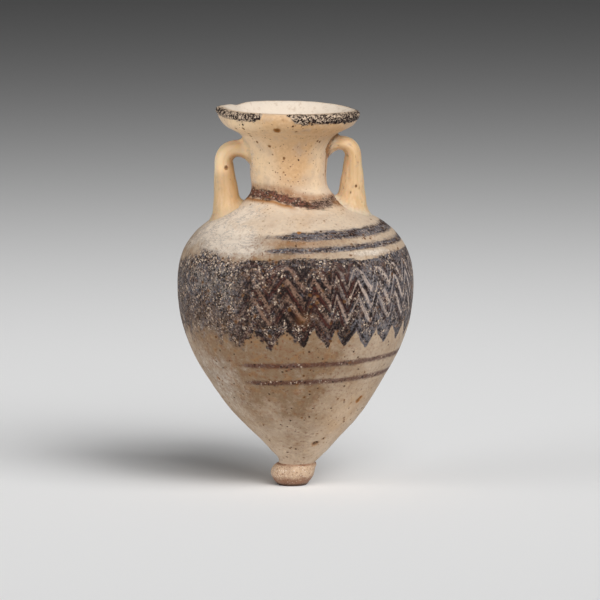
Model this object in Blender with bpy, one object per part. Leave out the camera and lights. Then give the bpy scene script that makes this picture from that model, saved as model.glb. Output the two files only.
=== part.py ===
"""A core-formed glass amphoriskos: a small oil flask with an ovoid body, a concave neck
and a flaring rim, two trailed handles and a knob that it stands on. Metres, +Z up, with
the origin at the centre of the knob's flat underside and the handles along X."""

import math
from dataclasses import dataclass

import bmesh
import bpy
from mathutils import Matrix, Vector

# Whole flask
TOTAL_HEIGHT = 0.1085

# Knob
KNOB_HEIGHT = 0.0066
KNOB_RADIUS = 0.0063
FOOT_RADIUS = 0.0040

# Outside of the vessel, from the knob up, with heights as shares of the way to the rim
TIP_RADIUS = 0.0052
BELLY_RADIUS = 0.0337
NECK_RADIUS = 0.0108
RIM_RADIUS = 0.0200
BELLY_SHARE = 0.5035
NECK_SHARE = 0.788
FLARE_SHARE = 0.930

# Thickness of the glass
WALL = 0.0027
NECK_WALL = 0.0030
FLOOR_THICKNESS = 0.0062
RIM_THICKNESS = 0.0030
TIP_DEPTH = 0.0026

# Where one gather of glass lies on another
SEAM = 0.0003
HANDLE_SINK = 0.0022

# How far the hand-built flask wanders to the right over its knob, back under the belly,
# and to the left at the neck
TIP_DRIFT = 0.00195
BELLY_DRIFT = -0.0011
NECK_DRIFT = -0.0020

# Fineness of the facets
TURN_STEPS = 52
KNOB_STEPS = 36
OUTER_STEPS = 5
INNER_STEPS = 3
HANDLE_SIDES = 14
LEG_STEPS = 8
BEND_STEPS = 5
BRIDGE_STEPS = 4

# Colours of the glass, from the photograph
IVORY_GLASS = (0.72, 0.58, 0.42, 1.0)
HONEY_GLASS = (0.76, 0.58, 0.36, 1.0)
BUFF_GLASS = (0.66, 0.50, 0.36, 1.0)

# Heights that follow from the sizes above
BODY_RISE = TOTAL_HEIGHT - KNOB_HEIGHT
BELLY_HEIGHT = KNOB_HEIGHT + BELLY_SHARE * BODY_RISE
NECK_HEIGHT = KNOB_HEIGHT + NECK_SHARE * BODY_RISE
FLARE_HEIGHT = KNOB_HEIGHT + FLARE_SHARE * BODY_RISE


@dataclass
class Station:
    """A point on a turned outline, and how the curve passes it."""

    radius: float
    height: float
    heading: float
    arrive: float = 0.4
    leave: float = 0.4
    wall: float = 0.0

    def along(self):
        turn = math.radians(self.heading)
        return Vector((math.cos(turn), math.sin(turn)))

    def inside(self):
        """The same place on the inner face, one wall further in."""
        across = Vector((-self.along().y, self.along().x)) * self.wall
        return Station(
            self.radius + across.x,
            self.height + across.y,
            self.heading + 180,
            self.leave,
            self.arrive,
        )


@dataclass
class Handle:
    """One trailed handle, measured in its own upright plane out from the neck's axis.
    Its foot and leg are shares of the way from the neck to the belly's radius, and its
    arch and join are shares of the neck's rise."""

    name: str
    azimuth: float
    foot_share: float
    leg_share: float
    bend: float
    arch_share: float
    join_share: float
    foot_thickness: float
    elbow_thickness: float
    arch_thickness: float
    join_thickness: float
    foot_width: float
    leg_width: float

    def foot_reach(self):
        return lerp(NECK_RADIUS, BELLY_RADIUS, self.foot_share)

    def leg_reach(self):
        return lerp(NECK_RADIUS, BELLY_RADIUS, self.leg_share)


LEFT_HANDLE = Handle(
    name="left_handle",
    azimuth=177.0,
    foot_share=0.271,
    leg_share=0.336,
    bend=0.0040,
    arch_share=0.68,
    join_share=0.60,
    foot_thickness=0.0087,
    elbow_thickness=0.0052,
    arch_thickness=0.0047,
    join_thickness=0.0058,
    foot_width=0.0108,
    leg_width=0.0068,
)
RIGHT_HANDLE = Handle(
    name="right_handle",
    azimuth=0.0,
    foot_share=0.306,
    leg_share=0.332,
    bend=0.0036,
    arch_share=0.79,
    join_share=0.72,
    foot_thickness=0.0094,
    elbow_thickness=0.0046,
    arch_thickness=0.0037,
    join_thickness=0.0052,
    foot_width=0.0114,
    leg_width=0.0072,
)


def lerp(low, high, share):
    return low + (high - low) * share


def eased(low, high, at):
    """0 below low, 1 above high and a smooth rise between them."""
    share = min(1.0, max(0.0, (at - low) / (high - low)))
    return share * share * (3 - 2 * share)


def between(first, last, steps):
    """Points of the curve from one station to the next, without the last one."""
    start = Vector((first.radius, first.height))
    end = Vector((last.radius, last.height))
    chord = (end - start).length
    ahead = start + first.along() * chord * first.leave
    behind = end - last.along() * chord * last.arrive
    points = []
    for step in range(steps):
        t = step / steps
        s = 1 - t
        points.append(
            start * s**3
            + ahead * (3 * s * s * t)
            + behind * (3 * s * t * t)
            + end * t**3
        )
    return points


def through(stations, steps=OUTER_STEPS):
    """An outline through the stations, the last one included."""
    points = []
    for first, last in zip(stations, stations[1:]):
        points += between(first, last, steps)
    points.append(Vector((stations[-1].radius, stations[-1].height)))
    return points


def rim_bead():
    """Centre and radius of the round edge of the rim."""
    radius = RIM_THICKNESS / 2
    return Vector((RIM_RADIUS - radius, TOTAL_HEIGHT - radius)), radius


def outer_stations():
    """The outside, from the crease above the knob to the widest point of the rim."""
    centre, bead = rim_bead()
    return [
        Station(TIP_RADIUS, KNOB_HEIGHT - SEAM, 80, leave=0.33),
        Station(
            lerp(TIP_RADIUS, BELLY_RADIUS, 0.105),
            lerp(KNOB_HEIGHT, BELLY_HEIGHT, 0.07),
            49,
            arrive=0.22,
            leave=0.37,
            wall=WALL,
        ),
        Station(
            lerp(TIP_RADIUS, BELLY_RADIUS, 0.596),
            lerp(KNOB_HEIGHT, BELLY_HEIGHT, 0.387),
            56.6,
            arrive=0.48,
            leave=0.425,
            wall=WALL,
        ),
        Station(BELLY_RADIUS, BELLY_HEIGHT, 90, arrive=0.36, leave=0.42, wall=WALL),
        Station(
            lerp(NECK_RADIUS, BELLY_RADIUS, 0.38),
            lerp(BELLY_HEIGHT, NECK_HEIGHT, 0.72),
            155.5,
            arrive=0.434,
            leave=0.388,
            wall=WALL,
        ),
        Station(NECK_RADIUS, NECK_HEIGHT, 90, arrive=0.345, leave=0.255, wall=NECK_WALL),
        Station(
            lerp(NECK_RADIUS, RIM_RADIUS, 0.385),
            FLARE_HEIGHT,
            31.5,
            arrive=0.267,
            leave=0.375,
            wall=NECK_WALL,
        ),
        Station(centre.x + bead, centre.y, 80, arrive=0.5),
    ]


def outer_outline():
    return through(outer_stations())


def on_outline(outline, axis, at):
    """Where the outline first passes this radius (axis 0) or height (axis 1), from the
    top down, as a point of radius and height."""
    for above, below in zip(outline[::-1], outline[-2::-1]):
        low, high = sorted((above[axis], below[axis]))
        if low <= at <= high and high > low:
            return above.lerp(below, (at - above[axis]) / (below[axis] - above[axis]))
    return outline[-1]


def shoulder_height(radius):
    """Height of the shoulder's surface at a radius outside the neck."""
    shoulder = [p for p in outer_outline() if BELLY_HEIGHT <= p.y <= NECK_HEIGHT]
    return on_outline(shoulder, 0, radius).y


def neck_radius(height):
    """Radius of the neck's surface at a height."""
    return on_outline(outer_outline(), 1, height).x


def tip_outline():
    """The rounded tip under the crease, hidden in the knob, from the axis out."""
    crease = outer_stations()[0]
    return through(
        [
            Station(0, crease.height - TIP_DEPTH, 0, leave=0.5),
            Station(crease.radius, crease.height, 90, arrive=0.5),
        ],
        steps=4,
    )[:-1]


def inner_outline():
    """The inside, from the rim's round edge down the funnel and neck to the floor."""
    centre, bead = rim_bead()
    lip_turn = 125
    lip_steps = 5
    edge = []
    for step in range(1, lip_steps):
        turn = math.radians(lip_turn * step / lip_steps)
        edge.append(centre + Vector((math.cos(turn), math.sin(turn))) * bead)
    turn = math.radians(lip_turn)
    lip = centre + Vector((math.cos(turn), math.sin(turn))) * bead
    stations = [Station(lip.x, lip.y, lip_turn + 90)]
    stations += [s.inside() for s in outer_stations()[-2:0:-1]]
    stations.append(Station(0, KNOB_HEIGHT + FLOOR_THICKNESS, 180, arrive=0.3))
    return edge + through(stations, steps=INNER_STEPS)


def turned(name, outline, steps):
    """A closed solid turned about Z from an outline that starts and ends on the axis."""
    shape = bmesh.new()
    points = [shape.verts.new((p.x, 0.0, p.y)) for p in outline]
    edges = [shape.edges.new(pair) for pair in zip(points, points[1:])]
    bmesh.ops.spin(
        shape,
        geom=points + edges,
        cent=(0, 0, 0),
        axis=(0, 0, 1),
        angle=math.tau,
        steps=steps,
        use_merge=True,
    )
    bmesh.ops.remove_doubles(shape, verts=shape.verts, dist=1e-6)
    bmesh.ops.recalc_face_normals(shape, faces=shape.faces)
    mesh = bpy.data.meshes.new(name)
    shape.to_mesh(mesh)
    shape.free()
    return mesh


def axis_drift(height):
    """How far the hand-built flask's axis stands along X from the knob's at a height."""
    tip = TIP_DRIFT * eased(0.5 * KNOB_HEIGHT, 1.3 * KNOB_HEIGHT, height)
    belly = BELLY_DRIFT * eased(1.3 * KNOB_HEIGHT, lerp(KNOB_HEIGHT, BELLY_HEIGHT, 0.55), height)
    neck = NECK_DRIFT * eased(lerp(BELLY_HEIGHT, NECK_HEIGHT, 0.62), NECK_HEIGHT + WALL, height)
    return tip + belly + neck


def bump(turn, middle, spread):
    """1 at the middle angle about the axis, falling smoothly to 0 on both sides."""
    away = math.remainder(turn - math.radians(middle), math.tau) / math.radians(spread)
    return math.exp(-away * away)


def rim_wave(turn, height):
    """Height that the hand-tooled rim gains at an angle about the axis: low at the right,
    a little high at the back, with a nick behind the lump at its left."""
    tilt = 0.00018 * math.sin(turn) - 0.0002 * math.cos(turn)
    sag = -0.00065 * bump(turn, 15, 40)
    nick = -0.0006 * bump(turn, 143, 10)
    lump = 0.0002 * bump(turn, 176, 12)
    return (tilt + sag + nick + lump) * eased(FLARE_HEIGHT, TOTAL_HEIGHT, height)


def rim_reach(turn, height):
    """How far the rim stands out beyond its circle at an angle."""
    lump = 0.0008 * bump(turn, 178, 9)
    pinch = -0.0004 * bump(turn, 178, 45)
    return (lump + pinch) * eased(FLARE_HEIGHT, TOTAL_HEIGHT, height)


def by_hand(point):
    """Moves a point of the turned shape to where the maker's hand left it."""
    turn = math.atan2(point.y, point.x)
    out = Vector((point.x, point.y))
    if out.length > 1e-6:
        out *= 1 + rim_reach(turn, point.z) / out.length
    return Vector(
        (out.x + axis_drift(point.z), out.y, point.z + rim_wave(turn, point.z))
    )


def shape_by_hand(mesh):
    for vertex in mesh.vertices:
        vertex.co = by_hand(vertex.co)


def smoothed(mesh, angle=45):
    """Rounds the shading and keeps the edges that are sharper than the angle."""
    mesh.shade_smooth()
    mesh.set_sharp_from_angle(angle=math.radians(angle))


def glass(name, colour, roughness=0.45):
    """Weathered opaque glass in one colour."""
    material = bpy.data.materials.new(name)
    material.use_nodes = True
    shader = material.node_tree.nodes["Principled BSDF"]
    shader.inputs["Base Color"].default_value = colour
    shader.inputs["Roughness"].default_value = roughness
    shader.inputs["Metallic"].default_value = 0.0
    material.diffuse_color = colour
    return material


def placed(name, mesh, material=None):
    item = bpy.data.objects.new(name, mesh)
    bpy.context.scene.collection.objects.link(item)
    if material:
        mesh.materials.append(material)
    return item


def cut_by(item, cutter):
    cut = item.modifiers.new("seat on the vessel", "BOOLEAN")
    cut.operation = "DIFFERENCE"
    cut.solver = "EXACT"
    cut.object = cutter


def vessel(material):
    """Body, neck and rim, one hollow gather."""
    outline = tip_outline() + outer_outline() + inner_outline()
    mesh = turned("vessel", outline, TURN_STEPS)
    shape_by_hand(mesh)
    smoothed(mesh)
    return placed("vessel", mesh, material)


def seat_cutter():
    """The vessel's outside, filled and grown by the seam, which seats what lies on it."""
    outline = tip_outline() + outer_outline() + [Vector((0, TOTAL_HEIGHT))]
    mesh = turned("seat", outline, TURN_STEPS)
    shape_by_hand(mesh)
    item = placed("seat", mesh)
    grow = [v.normal.copy() for v in mesh.vertices]
    for vertex, normal in zip(mesh.vertices, grow):
        vertex.co += normal * SEAM
    item.hide_render = True
    item.display_type = "WIRE"
    return item


def knob(material, seat):
    """The flattened ball of glass under the tip, flat below where it stands."""
    outline = [Vector((0, 0))]
    outline += through(
        [
            Station(FOOT_RADIUS, 0, 42, leave=0.25),
            Station(KNOB_RADIUS, 0.64 * KNOB_HEIGHT, 90, arrive=0.36, leave=0.5),
            Station(0.78 * KNOB_RADIUS, KNOB_HEIGHT, 158, arrive=0.4),
        ]
    )
    outline.append(Vector((0, KNOB_HEIGHT + SEAM)))
    mesh = turned("base_knob", outline, KNOB_STEPS)
    shape_by_hand(mesh)
    smoothed(mesh)
    item = placed("base_knob", mesh, material)
    cut_by(item, seat)
    return item


def handle_course(h, lean):
    """Rings of a handle from inside the shoulder, up the leg, round the bend and over
    into the neck: each one's middle, thickness in the handle's plane and width across."""
    outer_edge = h.foot_reach() + lean + h.foot_thickness / 2
    root = Vector((h.foot_reach(), shoulder_height(outer_edge) - HANDLE_SINK))
    arch = lerp(NECK_HEIGHT, FLARE_HEIGHT, h.arch_share)
    join = lerp(NECK_HEIGHT, FLARE_HEIGHT, h.join_share)
    elbow = Vector((h.leg_reach(), arch - h.bend))
    hub = elbow - Vector((h.bend, 0))
    top = hub + Vector((0, h.bend))
    end = Vector((neck_radius(join) - HANDLE_SINK, join))
    course = []
    for step in range(LEG_STEPS):
        t = step / LEG_STEPS
        spread = 1 + 0.25 * (1 - t) ** 4
        thick = lerp(h.foot_thickness * spread, h.elbow_thickness, t)
        wide = lerp(h.foot_width * spread, h.leg_width, eased(0, 0.7, t))
        course.append((root.lerp(elbow, t), thick, wide))
    for step in range(BEND_STEPS):
        t = step / BEND_STEPS
        turn = t * math.pi / 2
        middle = hub + Vector((math.cos(turn), math.sin(turn))) * h.bend
        course.append((middle, lerp(h.elbow_thickness, h.arch_thickness, t), h.leg_width))
    for step in range(BRIDGE_STEPS + 1):
        t = step / BRIDGE_STEPS
        middle = top.lerp(end, t)
        middle.y = lerp(top.y, end.y, t * t)
        thick = lerp(h.arch_thickness, h.join_thickness, eased(0, 1, t))
        course.append((middle, thick, h.leg_width))
    return course


def handle(h, material, seat):
    """A rod of glass drawn up from a spread foot on the shoulder and bent onto the neck."""
    neck_axis = axis_drift(FLARE_HEIGHT)
    shoulder_axis = axis_drift(lerp(BELLY_HEIGHT, NECK_HEIGHT, 0.66))
    turn = Matrix.Rotation(math.radians(h.azimuth), 4, "Z")
    lean = (neck_axis - shoulder_axis) * math.cos(math.radians(h.azimuth))
    course = handle_course(h, lean)
    middles = [middle for middle, _, _ in course]
    before = [middles[0]] + middles[:-1]
    after = middles[1:] + [middles[-1]]
    side = Vector((0, 1, 0))
    shape = bmesh.new()
    rings = []
    for (middle, thick, wide), last, following in zip(course, before, after):
        run = following - last
        along = Vector((run.x, 0, run.y)).normalized()
        facing = Matrix((side.cross(along), side, along)).transposed().to_4x4()
        size = Matrix.Diagonal((thick / 2, wide / 2, 1, 1))
        spot = Matrix.Translation((middle.x, 0, middle.y))
        ring = bmesh.ops.create_circle(
            shape,
            segments=HANDLE_SIDES,
            radius=1.0,
            matrix=spot @ facing @ size,
        )["verts"]
        rings.append(ring)
    loops = [{edge for vertex in ring for edge in vertex.link_edges} for ring in rings]
    for lower, upper in zip(loops, loops[1:]):
        bmesh.ops.bridge_loops(shape, edges=list(lower | upper))
    for ring in (rings[0], rings[-1]):
        shape.faces.new(ring)
    bmesh.ops.recalc_face_normals(shape, faces=shape.faces)
    place = Matrix.Translation((neck_axis, 0, 0)) @ turn
    bmesh.ops.transform(shape, matrix=place, verts=shape.verts)
    mesh = bpy.data.meshes.new(h.name)
    shape.to_mesh(mesh)
    shape.free()
    smoothed(mesh)
    item = placed(h.name, mesh, material)
    cut_by(item, seat)
    return item


def main():
    for old in list(bpy.data.objects):
        bpy.data.objects.remove(old)
    seat = seat_cutter()
    vessel(glass("ivory glass", IVORY_GLASS))
    knob(glass("buff glass", BUFF_GLASS), seat)
    honey = glass("honey glass", HONEY_GLASS)
    for each in (LEFT_HANDLE, RIGHT_HANDLE):
        handle(each, honey, seat)


main()
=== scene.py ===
"""Looks for the glass amphoriskos: finely modelled glass with its flush trails, combed
zigzag and weathering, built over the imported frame, and a plain studio stage."""

import math
from dataclasses import dataclass

import bmesh
import bpy
from bpy.props import FloatProperty, FloatVectorProperty, IntProperty, PointerProperty
from bpy.types import Operator, Panel, PropertyGroup
from mathutils import Matrix, Vector, kdtree, noise


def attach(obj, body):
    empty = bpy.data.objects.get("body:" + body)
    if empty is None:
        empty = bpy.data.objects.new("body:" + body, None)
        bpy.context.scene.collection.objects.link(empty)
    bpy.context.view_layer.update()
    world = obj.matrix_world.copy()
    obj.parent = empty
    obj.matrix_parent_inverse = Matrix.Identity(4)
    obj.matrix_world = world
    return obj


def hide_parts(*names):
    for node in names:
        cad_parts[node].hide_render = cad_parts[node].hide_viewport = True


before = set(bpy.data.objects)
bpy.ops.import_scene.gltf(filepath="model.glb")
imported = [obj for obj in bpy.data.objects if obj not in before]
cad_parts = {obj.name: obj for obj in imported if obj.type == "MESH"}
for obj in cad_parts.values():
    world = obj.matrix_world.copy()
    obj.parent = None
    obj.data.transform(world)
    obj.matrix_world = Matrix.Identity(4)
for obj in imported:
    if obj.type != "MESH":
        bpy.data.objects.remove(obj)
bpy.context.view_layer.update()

bl_info = {
    "name": "Glass amphoriskos",
    "version": (1, 0, 0),
    "blender": (4, 5, 0),
    "location": "View3D > Sidebar > Amphoriskos",
    "description": "Builds a core-formed glass oil flask and a plain studio stage",
    "category": "Object",
}

MM = 0.001


def length(name, description, default):
    return FloatProperty(name=name, description=description, default=default, unit="LENGTH")


def share(name, description, default):
    return FloatProperty(
        name=name, description=description, default=default, min=0.0, max=2.0, subtype="FACTOR"
    )


def colour(name, description, default):
    return FloatVectorProperty(
        name=name, description=description, default=default, min=0.0, max=1.0, subtype="COLOR"
    )


class FlaskSizes(PropertyGroup):
    total_height: length("Height", "Height of the flask from knob to rim", 0.1085)
    knob_height: length("Knob height", "Height of the knob", 0.0066)
    knob_radius: length("Knob radius", "Greatest radius of the knob", 0.0063)
    foot_radius: length("Foot radius", "Radius of the flat under the knob", 0.0040)
    tip_radius: length("Tip radius", "Radius of the body where it meets the knob", 0.0052)
    belly_radius: length("Belly radius", "Greatest radius of the body", 0.0337)
    neck_radius: length("Neck radius", "Smallest radius of the neck", 0.0108)
    rim_radius: length("Rim radius", "Radius of the rim's outer edge", 0.0200)
    belly_share: share("Belly", "Height of the belly as a share of the body's rise", 0.5035)
    neck_share: share("Neck", "Height of the neck as a share of the body's rise", 0.788)
    flare_share: share("Flare", "Height of the flare as a share of the body's rise", 0.930)
    wall: length("Wall", "Thickness of the body's wall", 0.0027)
    neck_wall: length("Neck wall", "Thickness of the neck's wall", 0.0030)
    floor_thickness: length("Floor", "Thickness of glass over the knob", 0.0062)
    rim_thickness: length("Rim thickness", "Thickness of the rim's round edge", 0.0030)
    tip_depth: length("Tip depth", "How far the tip reaches into the knob", 0.0026)
    tip_drift: length("Tip drift", "Drift of the axis to the right over the knob", 0.00195)
    belly_drift: length("Belly drift", "Further drift of the axis at the belly", -0.0011)
    neck_drift: length("Neck drift", "Further drift of the axis at the neck", -0.0020)
    grid: length("Grid", "Spacing of the fine mesh along the outline", 0.00060)
    turn_steps: IntProperty(
        name="Turn steps", description="Steps of the fine mesh round the axis", default=340
    )
    lumps: length("Lumps", "Height of the soft unevenness of the glass", 0.00011)


HANDLE_FIELDS = {
    "azimuth": ("Azimuth", "Direction of the handle round the neck", "ANGLE"),
    "foot_share": ("Foot", "Reach of the foot between neck and belly radius", "FACTOR"),
    "leg_share": ("Leg", "Reach of the leg between neck and belly radius", "FACTOR"),
    "bend": ("Bend", "Radius of the bend at the top", "DISTANCE"),
    "arch_share": ("Arch", "Height of the bridge between neck and flare", "FACTOR"),
    "join_share": ("Join", "Height of the join between neck and flare", "FACTOR"),
    "foot_thickness": ("Foot thickness", "Thickness at the foot", "DISTANCE"),
    "elbow_thickness": ("Elbow thickness", "Thickness where the leg bends", "DISTANCE"),
    "arch_thickness": ("Arch thickness", "Thickness at the top", "DISTANCE"),
    "join_thickness": ("Join thickness", "Thickness at the neck", "DISTANCE"),
    "foot_width": ("Foot width", "Width of the foot", "DISTANCE"),
    "leg_width": ("Leg width", "Width of the leg", "DISTANCE"),
}


def handle_sizes(title, *defaults):
    """A property group of one handle's sizes, in the order of the fields above."""
    fields = {
        key: FloatProperty(name=label, description=text, default=value, subtype=kind)
        for (key, (label, text, kind)), value in zip(HANDLE_FIELDS.items(), defaults)
    }
    return type(title, (PropertyGroup,), {"__annotations__": fields})


LeftHandleSizes = handle_sizes(
    "LeftHandleSizes", math.radians(177), 0.271, 0.336, 0.0040, 0.68, 0.60,
    0.0087, 0.0052, 0.0047, 0.0058, 0.0108, 0.0068,
)
RightHandleSizes = handle_sizes(
    "RightHandleSizes", 0.0, 0.306, 0.332, 0.0036, 0.79, 0.72,
    0.0094, 0.0046, 0.0037, 0.0052, 0.0114, 0.0072,
)


class TrailSizes(PropertyGroup):
    row_pitch: length("Row pitch", "Distance between rows of the combed zigzag", 0.0048)
    drag: length("Drag", "How far the comb dragged the threads from trough to peak", 0.0076)
    stripe_pitch: length("Stripe pitch", "Rise of the shoulder's thread in a turn", 0.0035)
    stripe_width: length("Stripe width", "Width of the shoulder's thread", 0.0016)
    spiral_pitch: length("Spiral pitch", "Rise of the lower thread in a turn", 0.0052)
    spiral_width: length("Spiral width", "Width of the lower thread", 0.00135)
    neck_width: length("Neck width", "Width of the thread at the base of the neck", 0.0026)
    rim_relief: length("Rim relief", "How proud the rim's trail stands", 0.00032)


class GlassColours(PropertyGroup):
    ivory: colour("Ivory", "The clean body glass", (0.66, 0.535, 0.41))
    tan: colour("Tan", "The warmer body glass of neck and flare", (0.62, 0.375, 0.185))
    # Straw is also laid on as painted light: on the neck's sides, the rim's left, and the
    # handles' tops and inner sides
    straw: colour("Straw", "The sunny yellow of the neck's left side", (0.90, 0.67, 0.42))
    blush: colour("Blush", "The pinkish clouds of the body glass", (0.50, 0.36, 0.26))
    # Biscuit is laid on by the dusky tone, which also carries painted shade in the front middle
    biscuit: colour("Biscuit", "The dusky body glass under the zigzag", (0.25, 0.163, 0.095))
    veil: colour("Veil", "Thin grey weathering over the dusky glass", (0.43, 0.375, 0.32))
    chalk: colour("Chalk", "Chalky weathering", (0.77, 0.67, 0.56))
    stain: colour("Stain", "Grey stains and scratches in the chalk", (0.30, 0.26, 0.235))
    night: colour("Night", "The darkest grains of the dark glass", (0.007, 0.004, 0.004))
    aubergine: colour("Aubergine", "Dark purple-brown thread", (0.036, 0.017, 0.014))
    wine: colour("Wine", "Reddish middle of a combed row", (0.060, 0.017, 0.012))
    ash: colour("Ash", "The paler grains of the dark glass", (0.21, 0.145, 0.115))
    slate: colour("Slate", "Blue-grey weathered thread", (0.140, 0.135, 0.150))
    bark: colour("Bark", "Brown grains of the dark glass", (0.135, 0.075, 0.042))
    plum: colour("Plum", "Maroon of the thread at the neck", (0.17, 0.055, 0.035))
    umber: colour("Umber", "Warm brown haze and stains", (0.22, 0.095, 0.05))
    grit: colour("Grit", "Cream grains in the dark threads", (0.64, 0.50, 0.38))
    warm_line: colour("Warm line", "Light lines of the zigzag in front", (0.225, 0.130, 0.088))
    pale_line: colour("Pale line", "Light lines of the zigzag at the right", (0.50, 0.405, 0.35))
    rust: colour("Rust", "Orange-brown of pits and seams", (0.33, 0.14, 0.035))
    pit: colour("Pit", "Dark brown specks and bottoms of pits", (0.060, 0.026, 0.012))
    honey: colour("Honey", "Yellower glass of the handles", (0.70, 0.50, 0.295))
    amber: colour("Amber", "The handles' deeper glass", (0.58, 0.36, 0.165))


class StageSettings(PropertyGroup):
    floor_tone: share("Floor tone", "Reflectance of the pale floor", 0.84)
    # The floor's tone is a painted pool of light, halving at this radius
    painted_pool_radius: length("Pool radius", "Distance at which the floor has half its tone", 0.75)
    key_power: FloatProperty(name="Key", description="Strength of the key light", default=3.25)
    fill_power: FloatProperty(name="Fill", description="Strength of the fill light", default=1.9)
    air: share("Air", "Brightness of the surrounding light", 0.075)


class AmphoriskosSettings(PropertyGroup):
    flask: PointerProperty(type=FlaskSizes)
    left: PointerProperty(type=LeftHandleSizes)
    right: PointerProperty(type=RightHandleSizes)
    trails: PointerProperty(type=TrailSizes)
    colours: PointerProperty(type=GlassColours)
    stage: PointerProperty(type=StageSettings)


def settings():
    return bpy.context.scene.amphoriskos


def lerp(low, high, at):
    return low + (high - low) * at


def eased(low, high, at):
    """0 at low, 1 at high and a smooth passage between them, in either direction."""
    at = min(1.0, max(0.0, (at - low) / (high - low)))
    return at * at * (3 - 2 * at)


# Outline of the flask


@dataclass
class Station:
    """A point on a turned outline, and how the curve passes it."""

    radius: float
    height: float
    heading: float
    arrive: float = 0.4
    leave: float = 0.4
    wall: float = 0.0

    def along(self):
        turn = math.radians(self.heading)
        return Vector((math.cos(turn), math.sin(turn)))

    def inside(self):
        """The same place on the inner face, one wall further in."""
        across = Vector((-self.along().y, self.along().x)) * self.wall
        spot = (self.radius + across.x, self.height + across.y)
        return Station(*spot, self.heading + 180, self.leave, self.arrive)


def through(stations, spacing):
    """A smooth outline through the stations, with points about a spacing apart."""
    curve_per_chord = 1.04
    points = []
    for first, last in zip(stations, stations[1:]):
        start = Vector((first.radius, first.height))
        end = Vector((last.radius, last.height))
        chord = (end - start).length
        ahead = start + first.along() * chord * first.leave
        behind = end - last.along() * chord * last.arrive
        steps = max(2, round(curve_per_chord * chord / spacing))
        for step in range(steps):
            t = step / steps
            s = 1 - t
            points.append(
                start * s**3 + ahead * (3 * s * s * t) + behind * (3 * s * t * t) + end * t**3
            )
    points.append(Vector((stations[-1].radius, stations[-1].height)))
    return points


def body_heights(f):
    rise = f.total_height - f.knob_height
    return [f.knob_height + at * rise for at in (f.belly_share, f.neck_share, f.flare_share)]


def outer_stations(f):
    """The outside, from the crease above the knob to the widest point of the rim."""
    bead = f.rim_thickness / 2
    belly, neck, flare = body_heights(f)

    def spot(radius_share, height_share):
        return (
            lerp(f.tip_radius, f.belly_radius, radius_share),
            lerp(f.knob_height, belly, height_share),
        )

    return [
        Station(f.tip_radius, f.knob_height - 0.3 * MM, 80, leave=0.33),
        Station(*spot(0.105, 0.07), 49, arrive=0.22, leave=0.37, wall=f.wall),
        Station(*spot(0.596, 0.387), 56.6, arrive=0.48, leave=0.425, wall=f.wall),
        Station(f.belly_radius, belly, 90, arrive=0.36, leave=0.42, wall=f.wall),
        Station(
            lerp(f.neck_radius, f.belly_radius, 0.38), lerp(belly, neck, 0.72), 155.5,
            arrive=0.434, leave=0.388, wall=f.wall,
        ),
        Station(f.neck_radius, neck, 90, arrive=0.345, leave=0.255, wall=f.neck_wall),
        Station(
            lerp(f.neck_radius, f.rim_radius, 0.385), flare, 31.5,
            arrive=0.267, leave=0.375, wall=f.neck_wall,
        ),
        Station(f.rim_radius, f.total_height - bead, 80, arrive=0.5),
    ]


def tip_outline(f):
    """The rounded tip, hidden in the knob, from the axis out to the crease."""
    crease = outer_stations(f)[0]
    return through(
        [
            Station(0, crease.height - f.tip_depth, 0, leave=0.5),
            Station(crease.radius, crease.height, 90, arrive=0.5),
        ],
        0.9 * MM,
    )[:-1]


def inner_outline(f):
    """The rim's round edge, then down the funnel and the neck to the floor."""
    bead = f.rim_thickness / 2
    centre = Vector((f.rim_radius - bead, f.total_height - bead))
    lip_turn = math.radians(125)
    steps = 9
    edge = []
    for step in range(1, steps + 1):
        turn = lip_turn * step / steps
        edge.append(centre + Vector((math.cos(turn), math.sin(turn))) * bead)
    lip = edge.pop()
    inner = [s.inside() for s in outer_stations(f)[-2:0:-1]]
    funnel = [Station(lip.x, lip.y, 215)] + inner[:2]
    floor = Station(0, f.knob_height + f.floor_thickness, 180, arrive=0.3)
    return edge + through(funnel, 0.8 * MM)[:-1] + through(inner[1:] + [floor], 2.6 * MM)


def axis_drift(f, height):
    """How far the hand-built flask's axis stands along X from the knob's at a height."""
    belly, neck, _ = body_heights(f)
    low = 1.3 * f.knob_height
    return (
        f.tip_drift * eased(0.5 * f.knob_height, low, height)
        + f.belly_drift * eased(low, lerp(f.knob_height, belly, 0.55), height)
        + f.neck_drift * eased(lerp(belly, neck, 0.62), neck + f.wall, height)
    )


# What the maker's hand did to the rim: mm out or up, in degrees round from the right
RIM_REACH = [(0.8, 178, 9), (-0.4, 178, 45)]
RIM_WAVE = [(-0.65, 15, 40), (-0.6, 143, 10), (0.2, 176, 12)]


def bumps(turn, table):
    """The sum of smooth bumps round the axis, each a height, a middle and a spread."""
    total = 0.0
    for height, middle, spread in table:
        away = math.remainder(turn - math.radians(middle), math.tau) / math.radians(spread)
        total += height * math.exp(-away * away)
    return total


def by_hand(f, point):
    """Moves a point of the turned shape to where the maker's hand left it."""
    turn = math.atan2(point.y, point.x)
    at_rim = eased(body_heights(f)[2], f.total_height, point.z) * MM
    wave = 0.18 * math.sin(turn) - 0.2 * math.cos(turn) + bumps(turn, RIM_WAVE)
    out = Vector((point.x, point.y))
    if out.length > 1e-6:
        out *= 1 + bumps(turn, RIM_REACH) * at_rim / out.length
    return Vector((out.x + axis_drift(f, point.z), out.y, point.z + wave * at_rim))


# Places on the flask, in degrees round from the front (right positive) and millimetres up


def facing(f, point):
    """Degrees round from the front, 90 at the right handle."""
    return math.degrees(math.atan2(point.x - axis_drift(f, point.z), -point.y))


def blot(az, z, az0, z0, wide, tall):
    """A soft patch: 1 in its middle, falling to 0 at about twice its spreads."""
    round_way = math.remainder(az - az0, 360)
    return math.exp(-((round_way / wide) ** 2) - ((z - z0) / tall) ** 2)


def blots(az, z, patches):
    """The strengths at a place of patches, each a strength and the numbers of a blot."""
    return [strength * blot(az, z, *numbers) for strength, *numbers in patches]


def leftward(az):
    """1 from the left round to the right, and 0 past the left of the back."""
    return eased(-150, -120, az)


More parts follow.
